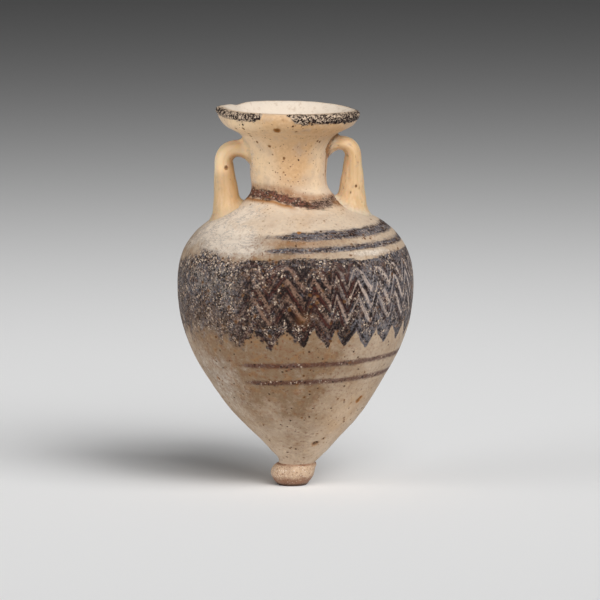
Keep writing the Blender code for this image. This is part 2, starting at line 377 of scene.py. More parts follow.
class Course:
    """A line that runs round the flask through (azimuth, height) stations, kept as one
    height for each whole degree."""

    def __init__(self, *stations):
        first, last = stations[0], stations[-1]
        spots = [(last[0] - 360, last[1]), *stations, (first[0] + 360, first[1])]
        self.heights = []
        for az in range(-180, 182):
            for (a, low), (b, high) in zip(spots, spots[1:]):
                if a <= az <= b:
                    self.heights.append(lerp(low, high, eased(a, b, az)))
                    break

    def at(self, az):
        whole = math.floor(az)
        return lerp(self.heights[whole + 180], self.heights[whole + 181], az - whole)


def rough(x, y, z, size):
    """Smooth noise between about -0.5 and 0.5, with lumps of about a size."""
    return noise.noise(Vector((x, y, z)) / size)


FIELD_TOP = Course(
    (-130, 67.4), (-87, 65.6), (-66, 68.4), (-50, 69.2), (-39, 68.7), (-30, 67.7),
    (-22, 68.4), (-12, 67.9), (-4, 68.8), (13, 68.8), (30, 68.5), (35, 67.7), (63, 69.1),
    (77, 69.1), (125, 68.6), (178, 68.2),
)
NECK_TRAIL = Course(
    (-120, 83.8), (-63, 84.4), (-26, 84.3), (-8, 83.4), (10, 82.5), (23, 81.8), (36, 81.9),
    (64, 82.5), (90, 82.4), (150, 83.0), (180, 83.6),
)
HAZE_TOP = Course(
    (-120, 87.0), (-70, 87.6), (-21, 87.8), (2, 87.0), (11, 85.7), (63, 84.2), (150, 85)
)
RIM_FOOT = Course(
    (-150, 105.9), (-90, 106.6), (-40, 106.0), (-29, 106.1), (-24, 106.6), (-19, 110.5),
    (-7, 110.5), (0, 107.6), (6, 106.0), (12, 105.1), (22, 105.5), (46, 105.1),
    (64, 105.0), (90, 105.3), (150, 105.8), (180, 105.4),
)
# Where the comb turned the threads in front, troughs and peaks by turns
COMBED = [
    -29.3, -20.5, -12.4, -4.0, 4.6, 8.9, 17.4, 20.2, 26.0, 31.8, 39.9, 44.5, 52.6, 56.5,
    64.3, 69.3, 75.5, 81.5,
]


def comb_turns():
    """The turns in front and then evenly spaced ones all round, swaying a little."""
    turns = list(COMBED)
    more = 39
    span = (turns[0] + 360 - turns[-1]) / more
    for step in range(1, more + 1):
        sway = 1.3 * math.sin(2.4 * step) * (step < more)
        turns.append(COMBED[-1] + span * step + sway)
    return turns


COMB_TURNS = comb_turns()


def comb_wave(az):
    """-0.5 where the comb dragged down, 0.5 where it dragged up, and on which side of a
    peak that is: -1 on its left, where threads rise, 1 on its right."""
    az = COMB_TURNS[0] + (az - COMB_TURNS[0]) % 360
    for index, (a, b) in enumerate(zip(COMB_TURNS, COMB_TURNS[1:])):
        if a <= az <= b:
            straight = (az - a) / (b - a)
            side = math.sin(math.pi * straight)
            if index % 2 == 0:
                return straight**0.72 - 0.5, -side
            return 0.5 - straight**0.94, side
    return -0.5, 0.0


def rows_down(t, az, z):
    """Rows of the combed zigzag from its top edge down to a place."""
    depth = FIELD_TOP.at(az) - z
    pull = lerp(0.03, 1.0, eased(0, 4.6, depth)) * lerp(1, 0.7, eased(15, 21, depth))
    drag = t.drag / MM * pull * (1 - 0.7 * worn_at(az))
    return (depth + drag * comb_wave(az)[0]) / (t.row_pitch / MM)


def spiral_away(az, z, start, pitch, first, last):
    """Distance in mm from a thread that climbs in turns from a height in front. It runs
    from the first to the last degree, and past them the distance grows slowly."""
    level = (z - start) / pitch - az / 360
    lap = round(level)
    total = az + 360 * lap
    past = max(first - total, total - last, 0.0)
    return abs(level - lap) * pitch + past * 0.05


def stripe_gap(t, az, z):
    """Distance in mm outside the edge of the shoulder's flush thread, negative on it."""
    away = spiral_away(az, z, 70.9, t.stripe_pitch / MM, -190, 520)
    half = t.stripe_width / MM / 2 * lerp(1, 1.45, eased(72, 73.5, z))
    east = az + 9 * eased(73.2, 72.2, z)
    fading = 0.8 * eased(0, -12, east) + 1.8 * eased(-16, -28, east)
    return away - half + fading * leftward(az)


def spiral_gap(t, az, z):
    """The same for the thread that winds round the lower body."""
    away = spiral_away(az, z, 33.0, t.spiral_pitch / MM, -170, 520)
    return away - t.spiral_width / MM / 2 + 1.6 * eased(-24, -48, az) * eased(-140, -110, az)


def neck_gap(t, az, z):
    """The same for the thread at the base of the neck."""
    away = abs(z - NECK_TRAIL.at(az)) - t.neck_width / MM / 2
    return away + 1.4 * eased(100, 140, abs(az))


def rim_gap(az, z, past):
    """Distance in mm outside the rim's trail, negative on it."""
    return max(RIM_FOOT.at(az) - z, past - 1.7)


# Patches of wear, tone, painted light and painted shade: strength, azimuth, height, and spreads
# round and up
THICK_CHALK = [
    (1.0, -42, 73, 22, 4.6), (0.9, -62, 75, 24, 4.5), (0.8, -52, 79, 26, 3.5),
    (0.6, -76, 71, 14, 2.6), (0.7, -32, 70.8, 20, 2.0), (0.8, 44, 69.6, 16, 1.0),
]
THIN_CHALK = [
    (0.36, -58, 31, 28, 12), (0.12, -40, 14, 40, 6), (0.5, 140, 70, 26, 5),
    (0.35, -150, 40, 30, 12), (0.45, -70, 92, 26, 9), (0.3, 60, 86, 20, 5),
]
TAN = [
    (0.95, 2, 103, 44, 7), (0.85, 8, 93, 34, 8), (0.5, 50, 103.5, 24, 3),
    (0.45, 42, 22, 40, 12),
]
# Painted light in straw yellow: the neck's sides, the rim's left and the flare's front
PAINTED_LIGHT = [
    (1.0, -52, 93, 30, 8), (0.9, -48, 105, 26, 2.6), (0.35, -8, 102, 30, 2),
    (0.3, 8, 101.3, 36, 2.2), (0.65, 44, 92, 15, 9),
]
# Patches that tune the dusky tone and its painted shade: darker front left, lighter low on the
# right
DUSK_AND_SHADE = [(0.50, -14, 41, 36, 8), (-0.20, 45, 21, 24, 10)]
SEAMS = [
    (1.0, 72, 97.0, 3.5, 4.0), (0.8, 75, 90.5, 3.5, 3.5), (0.4, -74, 94.5, 4, 4),
    (0.9, 66, 81.4, 9, 1.0), (0.28, 4, 51.8, 3.4, 1.8),
]


def chalk_at(az, z):
    """How much chalky weathering lies on a place."""
    return min(1.0, max(blots(az, z, THICK_CHALK)) + sum(blots(az, z, THIN_CHALK)))


def deep_at(az, z):
    """How dark and glassy the zigzag is: most in front, less towards the right."""
    return blot(az, z, 8, 57, 30, 13)


def worn_at(az):
    """How far the zigzag is worn to a grey mottle."""
    return eased(-22, -42, az) * leftward(az)


def haze_at(az, z):
    """How brown the glass is over the neck's thread and between the shoulder's turns."""
    middle = NECK_TRAIL.at(az)
    top = HAZE_TOP.at(az)
    up = eased(top + 0.4, lerp(top, middle, 0.38), z) * eased(middle - 1.6, middle, z)
    smear = 0.8 * blot(az, z, 4, 72.8, 17, 0.7)
    return max(smear, up * (1 - 0.5 * eased(100, 150, abs(az))))


def tan_at(az, z):
    """How much warmer than ivory the glass is at a place."""
    return min(1.0, sum(blots(az, z, TAN)) + 0.22 * eased(84, 90, z))


def painted_light_at(az, z):
    """How much painted light lies on a place, laid on as a light straw yellow."""
    return min(1.0, sum(blots(az, z, PAINTED_LIGHT)))


def dusk_and_shade_at(az, z):
    """How dusky the body glass is, most under the zigzag and least over the knob; the darker
    front middle is painted shade.
    """
    low = lerp(0.30, 1.0, eased(7, 34, z))
    high = eased(75.2, 73.9, z) * lerp(1, 0.68, eased(60, 70, z))
    tall = low * high
    # Painted shade: the front middle darker than the sides, where the side lights reach least
    front = lerp(lerp(0.60, 0.32, eased(0, 40, az)), 1.0, blot(az, 0, -8, 0, 32, 1))
    return tall * front + 0.12 * eased(82, 78, z) + sum(blots(az, z, DUSK_AND_SHADE))


def seam_at(az, z):
    """Brown deposit along the handles' joins, and a glimpse of it amid the zigzag."""
    return min(1.0, sum(blots(az, z, SEAMS)))


# Places of the larger pits: azimuth, height, radius in mm, and how rusty they are
PITS = [
    (24.0, 13.2, 0.78, 0.6), (26.5, 13.5, 0.62, 0.5), (34.3, 14.8, 0.42, 0.4),
    (53.0, 26.1, 0.62, 1.0), (54.2, 26.9, 0.55, 1.0), (46.4, 23.9, 0.42, 0.2),
    (9.3, 29.2, 0.36, 0.1), (12.4, 24.8, 0.34, 0.1), (-57.3, 32.5, 0.50, 0.7),
    (-46.7, 36.3, 0.36, 0.0), (-16.9, 19.6, 0.30, 0.2), (-10.4, 19.0, 0.28, 0.2),
    (-6.4, 21.0, 0.28, 0.2), (3.6, 22.0, 0.24, 0.8), (-58.9, 58.0, 0.34, 0.0),
    (-58.7, 54.1, 0.30, 0.0), (-13.3, 60.2, 0.40, 0.2), (16.6, 75.7, 0.40, 0.2),
    (2.3, 75.5, 0.42, 0.9), (-9.9, 103.6, 0.72, 1.0), (-41.9, 104.9, 0.34, 0.3),
    (3.8, 105.0, 0.30, 0.4), (-26.0, 98.5, 0.30, 0.8), (44.0, 99.5, 0.28, 0.6),
    (14.7, 94.5, 0.24, 0.2), (-29.1, 93.5, 0.24, 0.2), (150, 60, 0.4, 0.3),
    (-120, 30, 0.4, 0.3), (110, 24, 0.45, 0.7), (-160, 75, 0.35, 0.2),
]


def outline_radius(outline, height):
    for low, high in zip(outline, outline[1:]):
        if low.y <= height <= high.y:
            return lerp(low.x, high.x, (height - low.y) / (high.y - low.y))
    return outline[-1].x


def pit_places(f):
    outline = through(outer_stations(f), 1 * MM)
    places = []
    for az, z, radius, rust in PITS:
        reach = outline_radius(outline, z * MM)
        turn = math.radians(az - 90)
        around = Vector((reach * math.cos(turn), reach * math.sin(turn), z * MM))
        places.append((by_hand(f, around) / MM, radius, rust))
    return places


# Shapes


def turned(outline, steps):
    """A closed solid turned about Z, with each point's way past the rim kept on it."""
    shape = bmesh.new()
    past = shape.verts.layers.float.new("past_rim")
    rim_zone = 100 * MM
    widest = max(range(len(outline)), key=lambda i: (outline[i].y > rim_zone) * outline[i].x)
    run = [0.0]
    for before, after in zip(outline, outline[1:]):
        run.append(run[-1] + (after - before).length)
    points = []
    for spot, way in zip(outline, run):
        vertex = shape.verts.new((spot.x, 0.0, spot.y))
        vertex[past] = (way - run[widest]) / MM
        points.append(vertex)
    edges = [shape.edges.new(pair) for pair in zip(points, points[1:])]
    bmesh.ops.spin(
        shape, geom=points + edges, cent=(0, 0, 0), axis=(0, 0, 1), angle=math.tau,
        steps=steps, use_merge=True,
    )
    bmesh.ops.remove_doubles(shape, verts=shape.verts, dist=1e-6)
    bmesh.ops.recalc_face_normals(shape, faces=shape.faces)
    return shape, past


def raise_surface(shape, heights):
    """Moves each vertex along its normal by its height."""
    shape.normal_update()
    for vertex, height in zip(shape.verts, heights):
        vertex.co += vertex.normal * height


def sink_pits(shape, heights, pits):
    """Lowers the surface by a rounded hollow at each pit."""
    tree = kdtree.KDTree(len(shape.verts))
    for index, vertex in enumerate(shape.verts):
        tree.insert(vertex.co, index)
    tree.balance()
    reach, sunk = 2.5, 0.45  # in radii of the pit
    for centre, radius, _ in pits:
        for _, index, away in tree.find_range(centre * MM, reach * radius * MM):
            depth = sunk * radius * math.exp(-((away / MM / radius) ** 2))
            heights[index] -= depth * MM


def to_object(name, shape, attributes, material):
    mesh = bpy.data.meshes.new(name)
    shape.to_mesh(mesh)
    shape.free()
    mesh.shade_smooth()
    for title, values in attributes.items():
        layer = mesh.attributes.new(title, "FLOAT_VECTOR", "POINT")
        layer.data.foreach_set("vector", [part for value in values for part in value])
    mesh.materials.append(material)
    item = bpy.data.objects.new(name, mesh)
    bpy.context.scene.collection.objects.link(item)
    return item


def vessel_relief(t, az, place, past):
    """Height in mm of the rim's trail, comb marks and neck's ledge over the smooth glass."""
    x, y, z = place
    height = 0.0
    rim = rim_gap(az, z, past)
    if rim < 0.4:
        lumps = 0.75 + 0.9 * rough(x, y, z, 1.3) + 0.6 * rough(x, y, z, 0.7)
        height += t.rim_relief / MM * eased(0.15, -0.7, rim) * lumps
    if past < 0:
        rows = rows_down(t, az, z)
        combed = eased(-0.2, 0.6, rows) * eased(6.4, 5.0, rows)
        wave = comb_wave(az)[0]
        comb_depth = 0.05
        height += comb_depth * combed * (abs(wave) * 2) ** 3 * wave
        ledge_height = 0.16
        ledge = z - NECK_TRAIL.at(az) + 1.1
        ledge = eased(-1.2, -0.1, ledge) * eased(0.5, 0.0, ledge)
        height += ledge_height * ledge * eased(70, 40, abs(az + 5))
    return height


MARKS = ("trails", "threads", "wear", "tone", "zone", "light")


def outside_marks(t, az, z, past):
    """What the vessel's finish reads on its outer face, in the order of the marks."""
    return (
        (rows_down(t, az, z), FIELD_TOP.at(az) - z, rim_gap(az, z, past)),
        (stripe_gap(t, az, z), spiral_gap(t, az, z), neck_gap(t, az, z)),
        (chalk_at(az, z), worn_at(az), haze_at(az, z)),
        (tan_at(az, z), dusk_and_shade_at(az, z), seam_at(az, z)),
        (eased(8, 46, az) * eased(165, 120, az), deep_at(az, z), 0.0),
        # The first of these is painted light in straw yellow
        (painted_light_at(az, z), comb_wave(az)[1], eased(16, -8, az) * leftward(az)),
    )


def inside_marks(az, z, past):
    """The same on its inner face, where the rim's own tones end just past the edge."""
    edge = eased(3.4, 1.0, past)
    return (
        (-3.0, -9.0, rim_gap(az, z, past)),
        (9.0, 9.0, 9.0),
        (0.85 * eased(25, 6, past) * eased(1.0, 4.0, past), 0.0, 0.0),
        (lerp(0.6 * eased(6, 30, past), tan_at(az, z), edge), 0.0, 0.0),
        (0.0, 0.0, 1.0),
        # Painted light in straw yellow, reaching in over the rim's edge
        (painted_light_at(az, z) * edge, 0.0, 0.0),
    )


def build_vessel(f, t, material):
    outline = tip_outline(f) + through(outer_stations(f), f.grid) + inner_outline(f)
    shape, past = turned(outline, f.turn_steps)
    heights = []
    marks = {title: [] for title in MARKS}
    for vertex in shape.verts:
        vertex.co = by_hand(f, vertex.co)
        az = facing(f, vertex.co)
        place = vertex.co / MM
        way = vertex[past]
        uneven = rough(*place, 9.0) + 0.55 * rough(*place, 4.0) + 0.3 * rough(*place, 1.8)
        heights.append(f.lumps * uneven + MM * vessel_relief(t, az, place, way))
        row = outside_marks(t, az, place.z, way) if way < 0 else inside_marks(az, place.z, way)
        for values, value in zip(marks.values(), row):
            values.append(value)
    sink_pits(shape, heights, pit_places(f))
    raise_surface(shape, heights)
    return to_object("vessel_glass", shape, marks, material)


def build_knob(f, material):
    outline = [Vector((0, 0))] + through(
        [
            Station(f.foot_radius, 0, 42, leave=0.25),
            Station(f.knob_radius, 0.64 * f.knob_height, 90, arrive=0.36, leave=0.5),
            Station(0.78 * f.knob_radius, f.knob_height, 158, arrive=0.4),
        ],
        0.22 * MM,
    )
    outline.append(Vector((0, f.knob_height + 0.3 * MM)))
    shape, _ = turned(outline, steps=132)
    unevenness = 0.14 * MM
    heights = []
    for vertex in shape.verts:
        vertex.co = by_hand(f, vertex.co)
        place = vertex.co / MM
        free = eased(0.0, 0.8, place.z)
        lumps = rough(*place, 3.4) + 0.5 * rough(*place, 1.3)
        heights.append(unevenness * lumps * free)
    raise_surface(shape, heights)
    return to_object("knob_glass", shape, {}, material)


def handle_course(f, h, lean, spacing):
    """Rings of a handle from inside the shoulder, up the leg, round the bend and over
    into the neck: each one's middle, thickness in the handle's plane and width across."""
    outline = through(outer_stations(f), 1 * MM)
    belly, neck, flare = body_heights(f)
    shoulder = [p for p in outline if belly <= p.y <= neck]
    foot = lerp(f.neck_radius, f.belly_radius, h.foot_share)
    leg = lerp(f.neck_radius, f.belly_radius, h.leg_share)
    edge = foot + lean + h.foot_thickness / 2
    surface = next(
        lerp(a.y, b.y, (edge - a.x) / (b.x - a.x))
        for a, b in zip(shoulder, shoulder[1:])
        if b.x <= edge <= a.x
    )
    sink = 2.2 * MM
    root = Vector((foot, surface - sink))
    arch = lerp(neck, flare, h.arch_share)
    join = lerp(neck, flare, h.join_share)
    elbow = Vector((leg, arch - h.bend))
    hub = elbow - Vector((h.bend, 0))
    top = hub + Vector((0, h.bend))
    end = Vector((outline_radius(outline, join) - sink, join))
    rings = []
    steps = round((elbow - root).length / spacing)
    for step in range(steps):
        t = step / steps
        spread = 1 + 0.25 * (1 - t) ** 4
        thick = lerp(h.foot_thickness * spread, h.elbow_thickness, t)
        wide = lerp(h.foot_width * spread, h.leg_width, eased(0, 0.7, t))
        rings.append((root.lerp(elbow, t), thick, wide))
    steps = round(math.pi / 2 * h.bend / spacing)
    for step in range(steps):
        t = step / steps
        turn = t * math.pi / 2
        middle = hub + Vector((math.cos(turn), math.sin(turn))) * h.bend
        rings.append((middle, lerp(h.elbow_thickness, h.arch_thickness, t), h.leg_width))
    steps = round((end - top).length / spacing)
    for step in range(steps + 1):
        t = step / steps
        middle = top.lerp(end, t)
        middle.y = lerp(top.y, end.y, t * t)
        thick = lerp(h.arch_thickness, h.join_thickness, eased(0, 1, t))
        rings.append((middle, thick, h.leg_width))
    return rings


def off_surface(f, outline, point):
    """Distance from the vessel's outside, negative within it, and the way out of it."""
    out = Vector((point.x - axis_drift(f, point.z), point.y))
    spot = Vector((out.length, point.z))
    best = None
    for a, b in zip(outline, outline[1:]):
        run = b - a
        at = min(1.0, max(0.0, (spot - a).dot(run) / run.length_squared))
        away = spot - (a + run * at)
        if best is None or away.length < best[0].length:
            best = (away, Vector((run.y, -run.x)).normalized())
    away, normal = best
    side = 1 if away.dot(normal) >= 0 else -1
    flat = out.normalized()
    return side * away.length, Vector((flat.x * normal.x, flat.y * normal.x, normal.y))


def drawn_rod(rings, sides):
    """A closed rod through a handle's rings, with its loops of vertices and each vertex's
    place in mm: two ways off the rod's middle line, and along it."""
    middles = [ring[0] for ring in rings]
    before = [middles[0]] + middles[:-1]
    after = middles[1:] + [middles[-1]]
    across = Vector((0, 1, 0))
    shape = bmesh.new()
    loops, spots, run = [], [], 0.0
    for (middle, thick, wide), last, following in zip(rings, before, after):
        way = following - last
        run += (middle - last).length
        along = Vector((way.x, 0, way.y)).normalized()
        tilt = Matrix((across.cross(along), across, along)).transposed().to_4x4()
        size = Matrix.Diagonal((thick / 2, wide / 2, 1, 1))
        place = Matrix.Translation((middle.x, 0, middle.y))
        ring = bmesh.ops.create_circle(
            shape, segments=sides, radius=1.0, matrix=place @ tilt @ size
        )["verts"]
        loops.append(ring)
        for vertex in ring:
            local = tilt.inverted().to_3x3() @ (vertex.co - place.translation)
            spots.append((local.x / MM, local.y / MM, run / MM))
    shape.verts.index_update()
    edge_loops = [{edge for vertex in ring for edge in vertex.link_edges} for ring in loops]
    for lower, upper in zip(edge_loops, edge_loops[1:]):
        bmesh.ops.bridge_loops(shape, edges=list(lower | upper))
    for ring in (loops[0], loops[-1]):
        shape.faces.new(ring)
    bmesh.ops.recalc_face_normals(shape, faces=shape.faces)
    return shape, loops, spots


def build_handle(f, h, name, strap, material):
    """A drawn rod of glass whose ends spread onto the shoulder and the neck."""
    belly, neck, flare = body_heights(f)
    neck_axis = axis_drift(f, flare)
    lean = (neck_axis - axis_drift(f, lerp(belly, neck, 0.66))) * math.cos(h.azimuth)
    rings = handle_course(f, h, lean, spacing=0.33 * MM)
    shape, loops, spots = drawn_rod(rings, sides=60)
    turn = Matrix.Translation((neck_axis, 0, 0)) @ Matrix.Rotation(h.azimuth, 4, "Z")
    bmesh.ops.transform(shape, matrix=turn, verts=shape.verts)
    outline = through(outer_stations(f), 1.2 * MM)
    shape.verts.ensure_lookup_table()
    melted = 2.8 * MM
    spread = 1.25 * MM
    shallow = -0.6 * MM
    heights, seat = [], []
    for ring, (middle, _, _) in zip(loops, rings):
        centre = turn @ Vector((middle.x, 0, middle.y))
        for vertex in ring:
            x, y, s = spots[vertex.index]
            away, normal = off_surface(f, outline, vertex.co)
            out = vertex.co - centre
            out -= normal * out.dot(normal)
            if out.length > 1e-6 and away < melted:
                near = min(1.3, (melted - away) / melted)
                vertex.co += out.normalized() * spread * near**3
            if away < shallow:
                vertex.co += normal * 0.8 * (shallow - away)
            seat.append((away / MM, s, 0.0))
            ridge = math.sin(3.1 * math.atan2(y, x) * 2 + 0.8 * rough(x, y, s, 9))
            pull = rough(2.2 * x, 2.2 * y, 0.14 * s, 1.0)
            lump = rough(x, y, s, 4.5)
            heights.append((strap * 0.05 * ridge + 0.16 * pull + 0.16 * lump) * MM)
    raise_surface(shape, heights)
    return to_object(name, shape, {"strand": spots, "seat": seat}, material)


# Materials

# How far red, green and blue light go in the glass, as shares of a depth
SCATTER = (1.0, 0.6, 0.35)
SCATTER_DEPTH = 2.2 * MM


class Recipe:
    """The nodes of one finish, added one after another."""

    def __init__(self, name):
        self.material = bpy.data.materials.new(name)
        self.material.use_nodes = True
        self.nodes = self.material.node_tree.nodes
        self.links = self.material.node_tree.links
        self.shader = self.nodes["Principled BSDF"]

    def put(self, socket, value):
        if isinstance(value, bpy.types.NodeSocket):
            self.links.new(value, socket)
        elif socket.type == "RGBA":
            socket.default_value = (*value, 1.0)
        else:
            socket.default_value = value

    def add(self, kind, inputs, **settings):
        node = self.nodes.new(kind)
        for key, value in settings.items():
            setattr(node, key, value)
        for key, value in inputs.items():
            self.put(node.inputs[key], value)
        return node

    def calc(self, operation, first, second=0.0):
        inputs = {0: first, 1: second}
        return self.add("ShaderNodeMath", inputs, operation=operation).outputs[0]

    def times(self, first, *others):
        for other in others:
            first = self.calc("MULTIPLY", first, other)
        return first

    def plus(self, first, *others):
        for other in others:
            first = self.calc("ADD", first, other)
        return first

    def most(self, first, *others):
        for other in others:
            first = self.calc("MAXIMUM", first, other)
        return first

    def fade(self, value, start, end, low=0.0, high=1.0):
        """low up to start, high past end, smooth between; start may be above end."""
        inputs = {0: value, 1: start, 2: end, 3: low, 4: high}
        node = self.add("ShaderNodeMapRange", inputs, interpolation_type="SMOOTHSTEP")
        return node.outputs[0]

    def mix(self, at, first, second):
        inputs = {0: at, 6: first, 7: second}
        return self.add("ShaderNodeMix", inputs, data_type="RGBA").outputs[2]

    def coats(self, colour, *coats):
        """A colour under coats, each a strength and the colour that it lays on."""
        for strength, coat in coats:
            colour = self.mix(strength, colour, coat)
        return colour

    def scaled(self, vector, scale):
        return self.add("ShaderNodeMapping", {"Vector": vector, "Scale": scale}).outputs[0]

    def split(self, vector):
        return self.add("ShaderNodeSeparateXYZ", {0: vector}).outputs

    def places(self, stretch=(1, 1, 1)):
        """Object coordinates in millimetres."""
        spot = self.add("ShaderNodeTexCoord", {}).outputs["Object"]
        return self.scaled(spot, tuple(1 / MM * part for part in stretch))

    def mark(self, title):
        """An attribute of the mesh."""
        return self.add("ShaderNodeAttribute", {}, attribute_name=title).outputs["Vector"]

    def parts(self, title):
        """The three numbers of an attribute of the mesh."""
        return self.split(self.mark(title))

    def reach(self, spot, centre):
        """Distance of a place from a fixed one, in mm."""
        inputs = {0: spot, 1: tuple(centre)}
        return self.add("ShaderNodeVectorMath", inputs, operation="DISTANCE").outputs["Value"]

    def noise(self, spot, size, detail=2.0, roughness=0.5):
        """Noise from 0 to 1 about 0.5, with lumps of about a size in mm."""
        inputs = {"Vector": spot, "Scale": 1 / size, "Detail": detail, "Roughness": roughness}
        return self.add("ShaderNodeTexNoise", inputs).outputs["Fac"]

    def warped(self, spot, size, amount):
        """Places shifted by noise, so that round grains come out ragged."""
        inputs = {"Vector": spot, "Scale": 1 / size, "Detail": 2.0}
        drift = self.add("ShaderNodeTexNoise", inputs).outputs["Color"]
        inputs = {0: drift, 1: (amount,) * 3, 2: spot}
        return self.add("ShaderNodeVectorMath", inputs, operation="MULTIPLY_ADD").outputs[0]

    def seeds(self, spot, size):
        """Cells of about a size in mm: three random numbers for each, and how far a place
        is from its cell's middle."""
        cell = self.add("ShaderNodeTexVoronoi", {"Vector": spot, "Scale": 1 / size}).outputs
        return self.split(cell["Color"]), cell["Distance"]

    def cells(self, spot, size, rarity):
        """Cells of about a size in mm: which are kept, and how far from their middles."""
        picks, away = self.seeds(spot, size)
        return self.fade(picks[0], rarity, rarity + 0.10), away

    def grains(self, spot, size, rarity, low=0.50, high=0.28):
        """Round grains about a size apart in mm, a share of them left out."""
        kept, away = self.cells(spot, size, rarity)
        return self.times(kept, self.fade(away, low, high))

    def off(self, value, amount):
        """A value's way from its middle of 0.5, times an amount."""
        return self.times(self.calc("SUBTRACT", value, 0.5), amount)

    def finish(self, colour, roughness, height, slot_colour, glow=0.0, gloss=0.3):
        """Joins the colour, roughness and surface height in mm to the shader, with a
        share of light that scatters within the glass and one that its face reflects."""
        bump = {"Height": height, "Strength": 1.0, "Distance": MM}
        for title, value in {
            "Base Color": colour,
            "Roughness": roughness,
            "Normal": self.add("ShaderNodeBump", bump).outputs[0],
            "Specular IOR Level": gloss,
            "Subsurface Weight": glow,
            "Subsurface Radius": SCATTER,
            "Subsurface Scale": SCATTER_DEPTH,
        }.items():
            self.put(self.shader.inputs[title], value)
        self.material.diffuse_color = (*slot_colour, 1.0)
        return self.material


